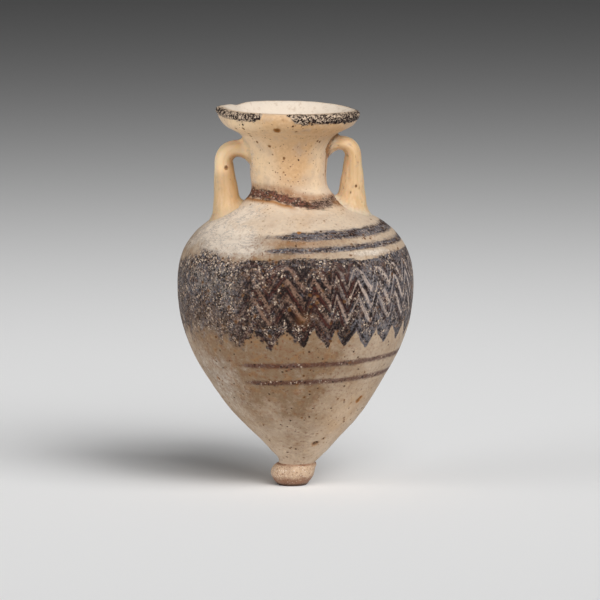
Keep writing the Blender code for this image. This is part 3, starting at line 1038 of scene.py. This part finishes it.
def vessel_finish(f, t, c):
    r = Recipe("ivory glass with trails")
    spot = r.places()
    rows, depth, rim = r.parts("trails")
    stripe, spiral, neck = r.parts("threads")
    chalk, worn, haze = r.parts("wear")
    # The second tone is dusky body glass plus painted shade in the front middle
    tan, dusk_and_shade, seam = r.parts("tone")
    right, deep, inside = r.parts("zone")
    # The first of these is painted light in straw yellow
    painted_light, side, torn = r.parts("light")

    # Body glass: ivory, with tan, pink and dusky clouds and a fine grain
    cloud = r.noise(spot, 8.0, 4.0, 0.6)
    patch = r.noise(spot, 3.4, 4.0, 0.6)
    mottle = r.noise(spot, 1.7, 4.0, 0.65)
    fine = r.noise(spot, 0.85, 4.0, 0.65)
    tiny = r.noise(spot, 0.60, 2.0, 0.6)
    streaks = r.noise(r.places((1, 1, 0.10)), 1.7, 4.0, 0.6)
    level = r.noise(r.places((0.32, 0.32, 1.5)), 1.0, 4.0, 0.65)
    smudge = r.fade(r.noise(spot, 2.3, 3.0), 0.53, 0.66)
    veil = r.times(r.fade(r.plus(chalk, r.off(patch, 0.5)), 0.06, 0.52), dusk_and_shade)
    coarse = r.plus(0.14, r.times(dusk_and_shade, 0.66))
    body = r.coats(
        c.ivory,
        (r.plus(tan, r.fade(cloud, 0.42, 0.68, -0.10, 0.20)), c.tan),
        # Painted light: straw on the neck's sides, the rim's left and the flare's front
        (r.times(painted_light, r.fade(patch, 0.3, 0.6, 0.75, 1.0)), c.straw),
        (r.fade(patch, 0.48, 0.72, 0.0, 0.6), c.blush),
        # Dusky tone, with painted shade darkening the front middle
        (r.plus(dusk_and_shade, r.times(r.off(cloud, 1.9), dusk_and_shade)), c.biscuit),
        (r.times(smudge, dusk_and_shade, 0.24), c.rust),
        (r.times(veil, 0.8), c.veil),
        (r.times(r.fade(mottle, 0.50, 0.30), coarse, 0.5), c.umber),
        (r.times(r.fade(mottle, 0.52, 0.72), coarse, 0.2), c.veil),
        (r.times(r.fade(fine, 0.46, 0.28), coarse), c.umber),
        (r.times(r.fade(fine, 0.50, 0.72), r.plus(0.30, r.times(dusk_and_shade, -0.2))), c.straw),
    )

    # Chalky weathering with grey stains and scratches along the wall
    flaky = r.fade(r.plus(chalk, r.off(patch, 0.9), r.off(fine, 0.7)), 0.26, 0.80)
    stained = r.fade(r.noise(spot, 2.6, 5.0, 0.65), 0.50, 0.68, 0.0, 0.60)
    crust = r.coats(
        c.chalk,
        (r.times(stained, r.fade(inside, 0.0, 1.0, 1.0, 0.15)), c.stain),
        (r.fade(level, 0.52, 0.66, 0.0, 0.45), c.chalk),
        (r.fade(mottle, 0.46, 0.34, 0.0, 0.35), c.blush),
    )
    scratch = r.times(
        r.fade(r.calc("ABSOLUTE", r.off(level, 1.0)), 0.034, 0.006),
        r.fade(chalk, 0.2, 0.5),
        r.fade(patch, 0.44, 0.54),
        r.fade(inside, 0.0, 1.0, 1.0, 0.0),
    )
    body = r.coats(
        body,
        (r.times(flaky, r.plus(0.85, r.times(dusk_and_shade, -0.3))), crust),
        (r.times(scratch, 0.75), c.stain),
    )

    # Grain of the dark glass, and strands that follow the comb
    middle = r.noise(spot, 1.5, 3.0, 0.6)
    flat = r.split(spot)
    along = r.times(rows, t.row_pitch / MM)
    inputs = {0: r.times(flat[0], 0.26), 1: r.times(flat[1], 0.26), 2: along}
    combed = r.add("ShaderNodeCombineXYZ", inputs).outputs[0]
    strand = r.noise(combed, 1.0, 3.0, 0.6)
    ribbon = r.noise(combed, 2.6, 2.0, 0.5)
    lanes = r.noise(r.places((0.20, 0.20, 2.0)), 1.0, 3.0, 0.6)
    grain = r.plus(
        r.fade(tiny, 0.36, 0.64, 0.0, 0.45),
        r.fade(middle, 0.36, 0.64, 0.0, 0.25),
        r.fade(strand, 0.34, 0.66, 0.0, 0.30),
    )
    pale = r.plus(r.times(deep, -0.65), 1.0)
    weathered = r.plus(patch, r.times(worn, 0.10), r.times(right, 0.18), r.times(deep, -0.10))
    ground = r.mix(r.fade(weathered, 0.48, 0.64, 0.0, 0.9), c.aubergine, c.slate)
    dark = r.coats(
        c.night,
        (r.fade(r.plus(grain, r.times(deep, -0.10)), 0.24, 0.66), ground),
        (r.times(r.fade(grain, 0.54, 0.92), pale), c.ash),
    )

    # Sandy weathering of the dark glass: black, brown, grey and cream grains
    ragged = r.warped(spot, 0.9, 0.9)
    (pick, hue, _), _ = r.seeds(r.warped(spot, 0.5, 0.45), 0.40)
    sand = r.coats(
        c.night,
        (r.fade(pick, 0.20, 0.44), r.mix(r.fade(hue, 0.35, 0.65), c.bark, c.slate)),
        (r.fade(pick, 0.60, 0.80, 0.0, 0.9), c.ash),
        (r.fade(pick, 0.86, 0.94), c.grit),
    )
    cluster = r.fade(r.noise(spot, 3.0, 3.0), 0.47, 0.62)
    shore = r.times(r.fade(depth, 4.5, 0.5), r.plus(0.25, r.times(worn, 0.5)))
    sandy = r.plus(0.10, r.times(cluster, 0.50), r.times(worn, 0.55), shore, r.times(deep, -0.12))
    cloudy = r.times(worn, r.fade(patch, 0.44, 0.60), r.fade(streaks, 0.42, 0.58))
    dusty = r.times(worn, r.fade(cloud, 0.52, 0.66))
    grit = r.most(r.grains(ragged, 0.80, 0.76), r.times(r.grains(ragged, 0.55, 0.66), 0.8))
    edge = r.times(r.fade(depth, 6.0, 2.5), worn, 0.9)
    grit = r.times(grit, r.most(r.fade(cluster, 0.0, 1.0, 0.06, 1.0), edge))
    soot = r.grains(ragged, 0.85, 0.60)

    # Combed zigzag: dark rows with light lines between them
    sway = r.off(middle, 1.0)
    jitter = r.plus(rows, r.times(sway, 0.26), r.off(r.noise(spot, 3.5, 2.0), 0.40))
    top = r.plus(depth, r.times(sway, 1.5), r.off(level, 1.6), r.times(worn, r.off(patch, 9.0)))
    soft = r.plus(0.25, r.times(worn, 0.9))
    last_row = 4.80
    blur = r.plus(0.04, r.times(worn, 0.5), r.times(torn, 0.14))
    smear = r.plus(jitter, r.times(r.off(streaks, -3.0), worn), r.times(r.off(middle, 1.6), torn))
    field = r.times(
        r.fade(top, r.times(soft, -1.0), soft),
        r.fade(smear, r.plus(last_row, blur), r.calc("SUBTRACT", last_row, blur)),
    )
    phase = r.calc("FRACT", r.plus(jitter, 0.5))
    within = r.calc("ABSOLUTE", r.calc("SUBTRACT", phase, 0.5))
    width = r.plus(0.27, r.times(right, -0.08), r.times(side, 0.09))
    line = r.times(
        r.fade(within, width, r.times(width, 0.25)),
        r.fade(rows, 0.66, 0.86),
        r.fade(rows, 4.3, 2.9, 0.1, 1.0),
        r.fade(worn, 0.9, 0.0, 0.10, 1.0),
        r.plus(r.fade(ribbon, 0.34, 0.52, 0.30, 0.9), r.times(right, 0.25)),
        r.fade(r.plus(side, right), -1.0, 0.2, 0.30, 1.0),
        r.fade(grain, 0.20, 0.50, 0.30, 1.0),
    )
    core = r.times(
        r.fade(within, 0.20, 0.34),
        r.fade(ribbon, 0.62, 0.44),
        r.fade(worn, 0.6, 0.0),
        r.plus(0.35, deep),
    )
    glaze = r.times(r.fade(within, 0.44, 0.28), right, r.fade(patch, 0.44, 0.58))
    bare = r.plus(1.0, r.times(core, -0.6), r.times(line, -0.45))
    zigzag = r.coats(
        dark,
        (r.times(core, 0.9), r.mix(r.fade(strand, 0.36, 0.60), c.night, c.wine)),
        (r.times(glaze, 0.75), r.mix(r.fade(strand, 0.5, 0.7, 0.0, 0.5), c.slate, c.veil)),
        (line, r.mix(right, c.warm_line, c.pale_line)),
        (r.times(sandy, bare), sand),
        (r.times(worn, r.fade(depth, 11.0, 18.0), 0.40), c.bark),
        (r.times(worn, r.fade(streaks, 0.48, 0.36), 0.45), c.night),
        (r.times(cloudy, 0.40), c.slate),
        (r.times(dusty, r.fade(tiny, 0.4, 0.6, 0.05, 0.40)), c.veil),
    )

    # Flush threads and the rim's trail
    frayed = r.plus(r.off(level, 1.5), r.times(sway, 0.8))
    stripes = r.fade(r.plus(stripe, frayed, r.times(chalk, 0.4)), 0.35, -0.45)
    stripes = r.times(stripes, r.fade(fine, 0.28, 0.44, 0.35, 1.0))
    spirals = r.fade(r.plus(spiral, r.times(frayed, 0.7), r.times(chalk, 0.8)), 0.50, -0.40)
    spirals = r.times(spirals, r.fade(fine, 0.30, 0.50, 0.45, 0.95))
    band = r.fade(r.plus(neck, r.times(frayed, 1.5), r.times(right, 0.3)), 0.45, -0.45)
    collar = r.fade(r.plus(rim, r.times(sway, 1.6), r.off(fine, 1.4)), 0.20, -0.20)
    dull = r.coats(
        c.aubergine,
        (r.fade(lanes, 0.40, 0.56), c.slate),
        (r.fade(lanes, 0.62, 0.74, 0.0, 0.6), c.veil),
        (0.35, sand),
    )
    plum = r.coats(dark, (r.fade(grain, 0.1, 0.9, 0.75, 0.45), c.wine), (0.30, c.plum))
    maroon = r.coats(
        c.night,
        (r.fade(grain, 0.25, 0.60), r.mix(0.30, c.plum, c.wine)),
        (right, r.mix(r.fade(grain, 0.3, 0.7), c.aubergine, c.ash)),
        (r.times(cluster, r.plus(0.06, r.times(right, 0.4))), sand),
    )
    under = r.times(r.fade(neck, 1.3, 0.2), r.fade(haze, 0.25, 0.0), r.fade(torn, 0.35, 0.95))
    colour = r.coats(
        body,
        (r.times(haze, r.fade(streaks, 0.3, 0.7, 0.45, 0.80)), r.mix(0.55, c.umber, c.rust)),
        (r.times(under, 0.95), c.rust),
        (field, zigzag),
        (stripes, dull),
        (r.times(spirals, 0.92), plum),
        (r.times(band, 0.92), maroon),
        (collar, r.mix(r.fade(fine, 0.42, 0.60, 0.1, 0.9), c.night, c.aubergine)),
    )

    # Black and cream grains on them, and the rim's cream flecks
    shaded = r.most(field, stripes, spirals, band, collar)
    grainy = r.most(shaded, r.times(haze, 0.5))
    clean = r.fade(r.times(band, r.fade(right, 0.4, 0.0)), 0.0, 1.0, 1.0, 0.45)
    bare = r.plus(
        1.0, r.times(field, core, -0.7), r.times(field, line, -0.5), r.times(stripes, -0.7)
    )
    soot = r.times(grainy, soot, clean, 0.85)
    grit = r.times(grainy, grit, bare, clean)
    (flecks, glint, _), _ = r.seeds(r.warped(spot, 0.45, 0.30), 0.36)
    flecks = r.plus(flecks, 0.06, r.times(right, -0.33), r.off(patch, 1.2))
    flecks = r.times(r.fade(flecks, 0.54, 0.68), r.fade(glint, 0.1, 0.8, 0.35, 1.0))
    cream = r.mix(right, r.mix(0.45, c.chalk, c.tan), r.mix(0.25, c.grit, c.umber))
    colour = r.coats(
        colour,
        (soot, c.night),
        (grit, c.grit),
        (r.times(collar, flecks, r.plus(0.9, r.times(right, -0.2))), cream),
    )
    grit = r.most(grit, r.times(collar, flecks))

    # Brown seams, fine specks and pits
    swarm = r.plus(r.noise(spot, 6.0, 3.0), r.times(tan, 0.18), r.times(dusk_and_shade, 0.10), -0.05)
    swarm = r.times(
        r.fade(swarm, 0.40, 0.60, 0.12, 1.0),
        r.fade(flaky, 0.8, 0.2, 0.3, 1.0),
        r.fade(inside, 0.0, 1.0, 1.0, 0.25),
    )
    kept, away = r.cells(ragged, 1.9, 0.74)
    halo = r.times(kept, r.fade(away, 0.40, 0.14), swarm)
    specks = r.times(kept, r.fade(away, 0.26, 0.15), swarm)
    motes = r.times(r.grains(ragged, 0.72, 0.74, 0.36, 0.16), swarm)
    kept, away = r.cells(r.warped(spot, 0.8, 0.5), 1.25, 0.86)
    dots = r.times(
        kept,
        r.fade(away, 0.32, 0.18),
        r.fade(dusk_and_shade, 0.05, 0.25),
        r.fade(shaded, 0.5, 0.0),
        r.fade(flaky, 0.6, 0.2),
    )
    hollow = 0.0
    rusty = 0.0
    for centre, radius, rust in pit_places(f):
        gap = r.plus(r.reach(spot, centre), r.off(fine, 0.9))
        near = r.fade(gap, 1.1 * radius, 0.5 * radius, 0.0, 1 - 1.2 * max(0.0, rust - 0.5))
        hollow = r.most(near, hollow)
        if rust > 0.3:
            rusty = r.most(r.fade(gap, 1.9 * radius, 1.0 * radius, 0.0, rust), rusty)
    colour = r.coats(
        colour,
        (r.times(seam, r.fade(fine, 0.3, 0.6, 0.5, 1.0)), c.rust),
        (r.times(r.fade(seam, 0.5, 1.0), r.fade(tiny, 0.6, 0.4), 0.8), c.pit),
        (r.times(halo, 0.45), c.rust),
        (r.times(motes, 0.8), r.mix(0.3, c.umber, c.pit)),
        (r.times(specks, 0.90), r.mix(r.plus(tan, 0.3), c.pit, r.mix(0.4, c.pit, c.rust))),
        (r.times(dots, 0.92), c.pit),
        (rusty, c.rust),
        (hollow, c.pit),
    )

    rough_glass = r.plus(0.42, r.times(fine, 0.14), r.times(shaded, 0.08), r.times(chalk, 0.14))
    height = r.plus(
        r.times(fine, 0.11),
        r.times(tiny, r.plus(0.05, r.times(shaded, 0.10))),
        r.times(grit, 0.08),
        r.times(r.most(specks, motes, dots), -0.06),
        r.times(hollow, -0.10),
        r.times(streaks, 0.05),
    )
    return r.finish(colour, rough_glass, height, c.ivory, gloss=0.12)


def handle_finish(c, name, depth, inner, painted_top_light, marks):
    """Honey glass in drawn lines: how deep its clouds are, how dark its inner side (with painted
    light on that side where it is not darkened), how much painted light lies on its top, and
    where its larger spots are."""
    r = Recipe(name)
    strand = r.mark("strand")
    inward = r.split(strand)[0]
    away, run, _ = r.parts("seat")
    spot = r.places()
    lines = r.noise(r.scaled(strand, (1, 1, 0.09)), 0.8, 4.0, 0.6)
    cloud = r.noise(spot, 4.0, 4.0, 0.6)
    fine = r.noise(spot, 0.8, 4.0, 0.65)
    deep = r.plus(r.fade(lines, 0.35, 0.65, 0.0, 0.5), r.fade(cloud, 0.45, 0.7, 0.0, 0.3))
    within = r.fade(inward, -0.4, -2.2)
    deep = r.plus(r.times(deep, depth), r.times(within, inner))
    seated = r.plus(away, r.times(fine, 1.6))
    # Painted light: straw on the top of the arch, which the flare's overhang shades
    painted_arch_light = r.times(r.fade(run, 14.0, 17.0), r.fade(inward, -2.4, -0.4), painted_top_light)
    join = r.times(r.fade(seated, 1.8, 1.0), r.fade(run, 18, 22), 0.85 - 0.6 * painted_top_light)
    ragged = r.warped(r.scaled(strand, (1, 1, 0.45)), 0.9, 0.7)
    swarm = r.fade(cloud, 0.42, 0.60, 0.15, 1.0)
    kept, gap = r.cells(ragged, 1.2, 0.80)
    specks = r.times(kept, r.fade(gap, 0.24, 0.10), swarm)
    motes = r.times(r.grains(ragged, 0.65, 0.82, 0.36, 0.18), swarm)
    colour = r.coats(
        c.honey,
        (deep, c.amber),
        # Painted light: straw on the inner side where inner is low, lighting a side that faces
        # away from the lights
        (r.times(within, 0.6 - inner), c.straw),
        (r.times(r.fade(seated, 2.6, 0.9), 0.75 - 0.4 * painted_top_light), c.ivory),
        (r.fade(r.noise(spot, 1.6, 4.0), 0.54, 0.70, 0.0, 0.45), c.blush),
        # Painted light on the arch's top
        (painted_arch_light, c.straw),
        (join, r.mix(r.fade(fine, 0.36, 0.50), c.pit, c.rust)),
        (r.times(kept, r.fade(gap, 0.42, 0.14), swarm, 0.5), c.rust),
        (r.times(motes, 0.5), c.umber),
        (r.times(specks, 0.80), c.pit),
    )
    for centre, radius in marks:
        gap = r.plus(r.reach(spot, centre), r.off(fine, 1.2))
        colour = r.coats(
            colour,
            (r.fade(gap, 1.3 * radius, 0.8 * radius, 0.0, 0.8), c.rust),
            (r.fade(gap, 0.9 * radius, 0.4 * radius, 0.0, 0.7), c.pit),
        )
    height = r.plus(
        r.times(lines, 0.16), r.times(fine, 0.07), r.times(r.most(specks, motes), -0.08)
    )
    return r.finish(colour, r.plus(0.36, r.times(fine, 0.16)), height, c.honey, glow=0.7)


def knob_finish(c):
    r = Recipe("buff glass")
    spot = r.places()
    up = r.split(spot)[2]
    cloud = r.noise(spot, 2.5, 4.0, 0.6)
    fine = r.noise(spot, 0.5, 5.0, 0.7)
    grit = r.grains(spot, 0.70, 0.60, 0.40, 0.20)
    pale = r.grains(spot, 0.62, 0.62, 0.42, 0.20)
    low = r.fade(r.plus(up, r.off(cloud, 2.6), r.off(fine, 2.0)), 3.6, 1.6)
    # Painted shade: a dark band round the foot where it meets the floor
    under = r.fade(r.plus(up, r.off(fine, 0.8)), 0.95, 0.45)
    # Painted shade: umber in the crease where the body sits in the knob
    crease = r.fade(r.plus(up, r.times(fine, 0.9)), 6.2, 6.7)
    body = r.coats(
        c.ivory,
        (r.fade(cloud, 0.4, 0.7, 0.2, 0.7), c.blush),
        (0.30, c.tan),
        (r.fade(cloud, 0.54, 0.36, 0.0, 0.36), c.umber),
        (r.times(grit, 0.65), c.umber),
        (r.fade(fine, 0.52, 0.32, 0.0, 0.7), c.umber),
        (r.times(low, 0.85), c.umber),
        (r.times(pale, r.fade(low, 0.0, 1.0, 0.7, 0.3)), c.chalk),
        # Painted shade at the foot
        (r.times(under, 0.9), c.pit),
        # Painted shade in the crease under the body
        (r.times(crease, r.fade(cloud, 0.4, 0.6, 0.3, 0.9)), c.umber),
    )
    height = r.plus(r.times(fine, 0.12), r.times(grit, -0.06), r.times(pale, 0.05))
    return r.finish(body, r.plus(0.42, r.times(fine, 0.16)), height, c.blush)


def floor_finish(s):
    """A pale floor with a painted pool of light: its tone falls away with distance from the
    middle.
    """
    r = Recipe("studio floor")
    spot = r.add("ShaderNodeTexCoord", {}).outputs["Object"]
    away = r.add("ShaderNodeVectorMath", {0: spot}, operation="LENGTH").outputs["Value"]
    # Painted pool of light: the tone halves at the pool's radius and fades beyond it
    far = r.calc("POWER", r.calc("DIVIDE", away, s.painted_pool_radius), 3.0)
    tone = r.plus(r.calc("DIVIDE", s.floor_tone, r.plus(far, 1.0)), 0.02)
    grey = r.add("ShaderNodeCombineColor", {0: tone, 1: tone, 2: tone}).outputs[0]
    r.put(r.shader.inputs["Base Color"], grey)
    r.put(r.shader.inputs["Roughness"], 0.9)
    r.put(r.shader.inputs["Specular IOR Level"], 0.0)
    return r.material


# Operators


def settle(piece, node):
    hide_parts(node)
    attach(piece, "root")


class AMPHORISKOS_OT_vessel(Operator):
    """Builds the body, neck and rim with their trails and weathering"""

    bl_idname = "amphoriskos.vessel"
    bl_label = "Build the vessel"

    def execute(self, context):
        s = settings()
        piece = build_vessel(s.flask, s.trails, vessel_finish(s.flask, s.trails, s.colours))
        settle(piece, "vessel")
        return {"FINISHED"}


class AMPHORISKOS_OT_handles(Operator):
    """Builds the two trailed handles"""

    bl_idname = "amphoriskos.handles"
    bl_label = "Build the handles"

    def execute(self, context):
        s = settings()
        # The left handle takes painted light on its top, the right one on its inner side
        left = handle_finish(
            s.colours, "honey glass left", depth=0.9, inner=0.6, painted_top_light=1.0,
            marks=[((-18.9, -2.5, 91.5), 0.60)],
        )
        right = handle_finish(
            s.colours, "honey glass right", depth=0.95, inner=0.0, painted_top_light=0.0,
            marks=[((18.1, -3.6, 86.4), 0.42), ((19.4, -7.0, 78.6), 0.4)],
        )
        piece = build_handle(s.flask, s.left, "left_handle_glass", 0.5, left)
        settle(piece, "left_handle")
        piece = build_handle(s.flask, s.right, "right_handle_glass", 1.3, right)
        settle(piece, "right_handle")
        return {"FINISHED"}


class AMPHORISKOS_OT_knob(Operator):
    """Builds the knob that the flask stands on"""

    bl_idname = "amphoriskos.knob"
    bl_label = "Build the knob"

    def execute(self, context):
        s = settings()
        piece = build_knob(s.flask, knob_finish(s.colours))
        settle(piece, "base_knob")
        return {"FINISHED"}


# The camera: its lens and sensor in mm, what it aims at, how far off and how steeply
LENS, SENSOR = 378, 36
AIM = Vector((0.00214, 0.0, 0.05322))
CAMERA_WAY = 1.8
LOOK_DOWN = math.radians(7.2)


class AMPHORISKOS_OT_stage(Operator):
    """Lays the floor and sets the lights and the camera"""

    bl_idname = "amphoriskos.stage"
    bl_label = "Set the stage"

    def execute(self, context):
        s = settings().stage
        scene = context.scene
        under_foot = Matrix.Translation((0, 0, -0.02 * MM))
        shape = bmesh.new()
        bmesh.ops.create_grid(shape, x_segments=8, y_segments=8, size=7.0, matrix=under_foot)
        floor = to_object("studio_floor", shape, {}, floor_finish(s))
        world = bpy.data.worlds.new("studio air")
        world.use_nodes = True
        air = world.node_tree.nodes["Background"]
        air.inputs["Color"].default_value = (1.0, 1.0, 1.0, 1.0)
        air.inputs["Strength"].default_value = s.air
        scene.world = world
        self.sun("key right", 0.5 * s.key_power, azimuth=44, height=40, spread=38)
        self.sun("key front", 0.5 * s.key_power, azimuth=19, height=40, spread=38)
        self.sun("fill", s.fill_power, azimuth=-66, height=6, spread=50)
        camera = bpy.data.cameras.new("camera")
        camera.lens = LENS
        camera.sensor_width = SENSOR
        view = bpy.data.objects.new("camera", camera)
        scene.collection.objects.link(view)
        back = Vector((0, -math.cos(LOOK_DOWN), math.sin(LOOK_DOWN)))
        view.location = AIM + CAMERA_WAY * back
        view.rotation_euler = (math.pi / 2 - LOOK_DOWN, 0, 0)
        scene.camera = view
        scene.view_settings.view_transform = "Standard"
        return {"FINISHED"}

    def sun(self, name, power, azimuth, height, spread):
        """A soft light from a direction round from the front, right positive."""
        light = bpy.data.lights.new(name, "SUN")
        light.energy = power
        light.angle = math.radians(spread)
        lamp = bpy.data.objects.new(name, light)
        bpy.context.scene.collection.objects.link(lamp)
        turn, up = math.radians(azimuth), math.radians(height)
        level = Vector((math.sin(turn), -math.cos(turn), 0)) * math.cos(up)
        source = level + Vector((0, 0, math.sin(up)))
        lamp.rotation_euler = source.to_track_quat("Z", "Y").to_euler()


class AMPHORISKOS_PT_sidebar(Panel):
    bl_label = "Amphoriskos"
    bl_idname = "AMPHORISKOS_PT_sidebar"
    bl_space_type = "VIEW_3D"
    bl_region_type = "UI"
    bl_category = "Amphoriskos"

    def draw(self, context):
        for step in STEPS:
            self.layout.operator(step.bl_idname)
        groups = context.scene.amphoriskos
        for title in ("flask", "left", "right", "trails", "colours", "stage"):
            group = getattr(groups, title)
            box = self.layout.box()
            box.label(text=title.capitalize())
            for key in group.__annotations__:
                box.prop(group, key)


STEPS = (
    AMPHORISKOS_OT_vessel, AMPHORISKOS_OT_handles, AMPHORISKOS_OT_knob, AMPHORISKOS_OT_stage
)
CLASSES = (
    FlaskSizes, LeftHandleSizes, RightHandleSizes, TrailSizes, GlassColours, StageSettings,
    AmphoriskosSettings, *STEPS, AMPHORISKOS_PT_sidebar,
)


def register():
    for each in CLASSES:
        bpy.utils.register_class(each)
    bpy.types.Scene.amphoriskos = PointerProperty(type=AmphoriskosSettings)


def unregister():
    del bpy.types.Scene.amphoriskos
    for each in reversed(CLASSES):
        bpy.utils.unregister_class(each)


def main():
    register()
    bpy.ops.amphoriskos.vessel()
    bpy.ops.amphoriskos.handles()
    bpy.ops.amphoriskos.knob()
    bpy.ops.amphoriskos.stage()


if __name__ == "__main__":
    main()
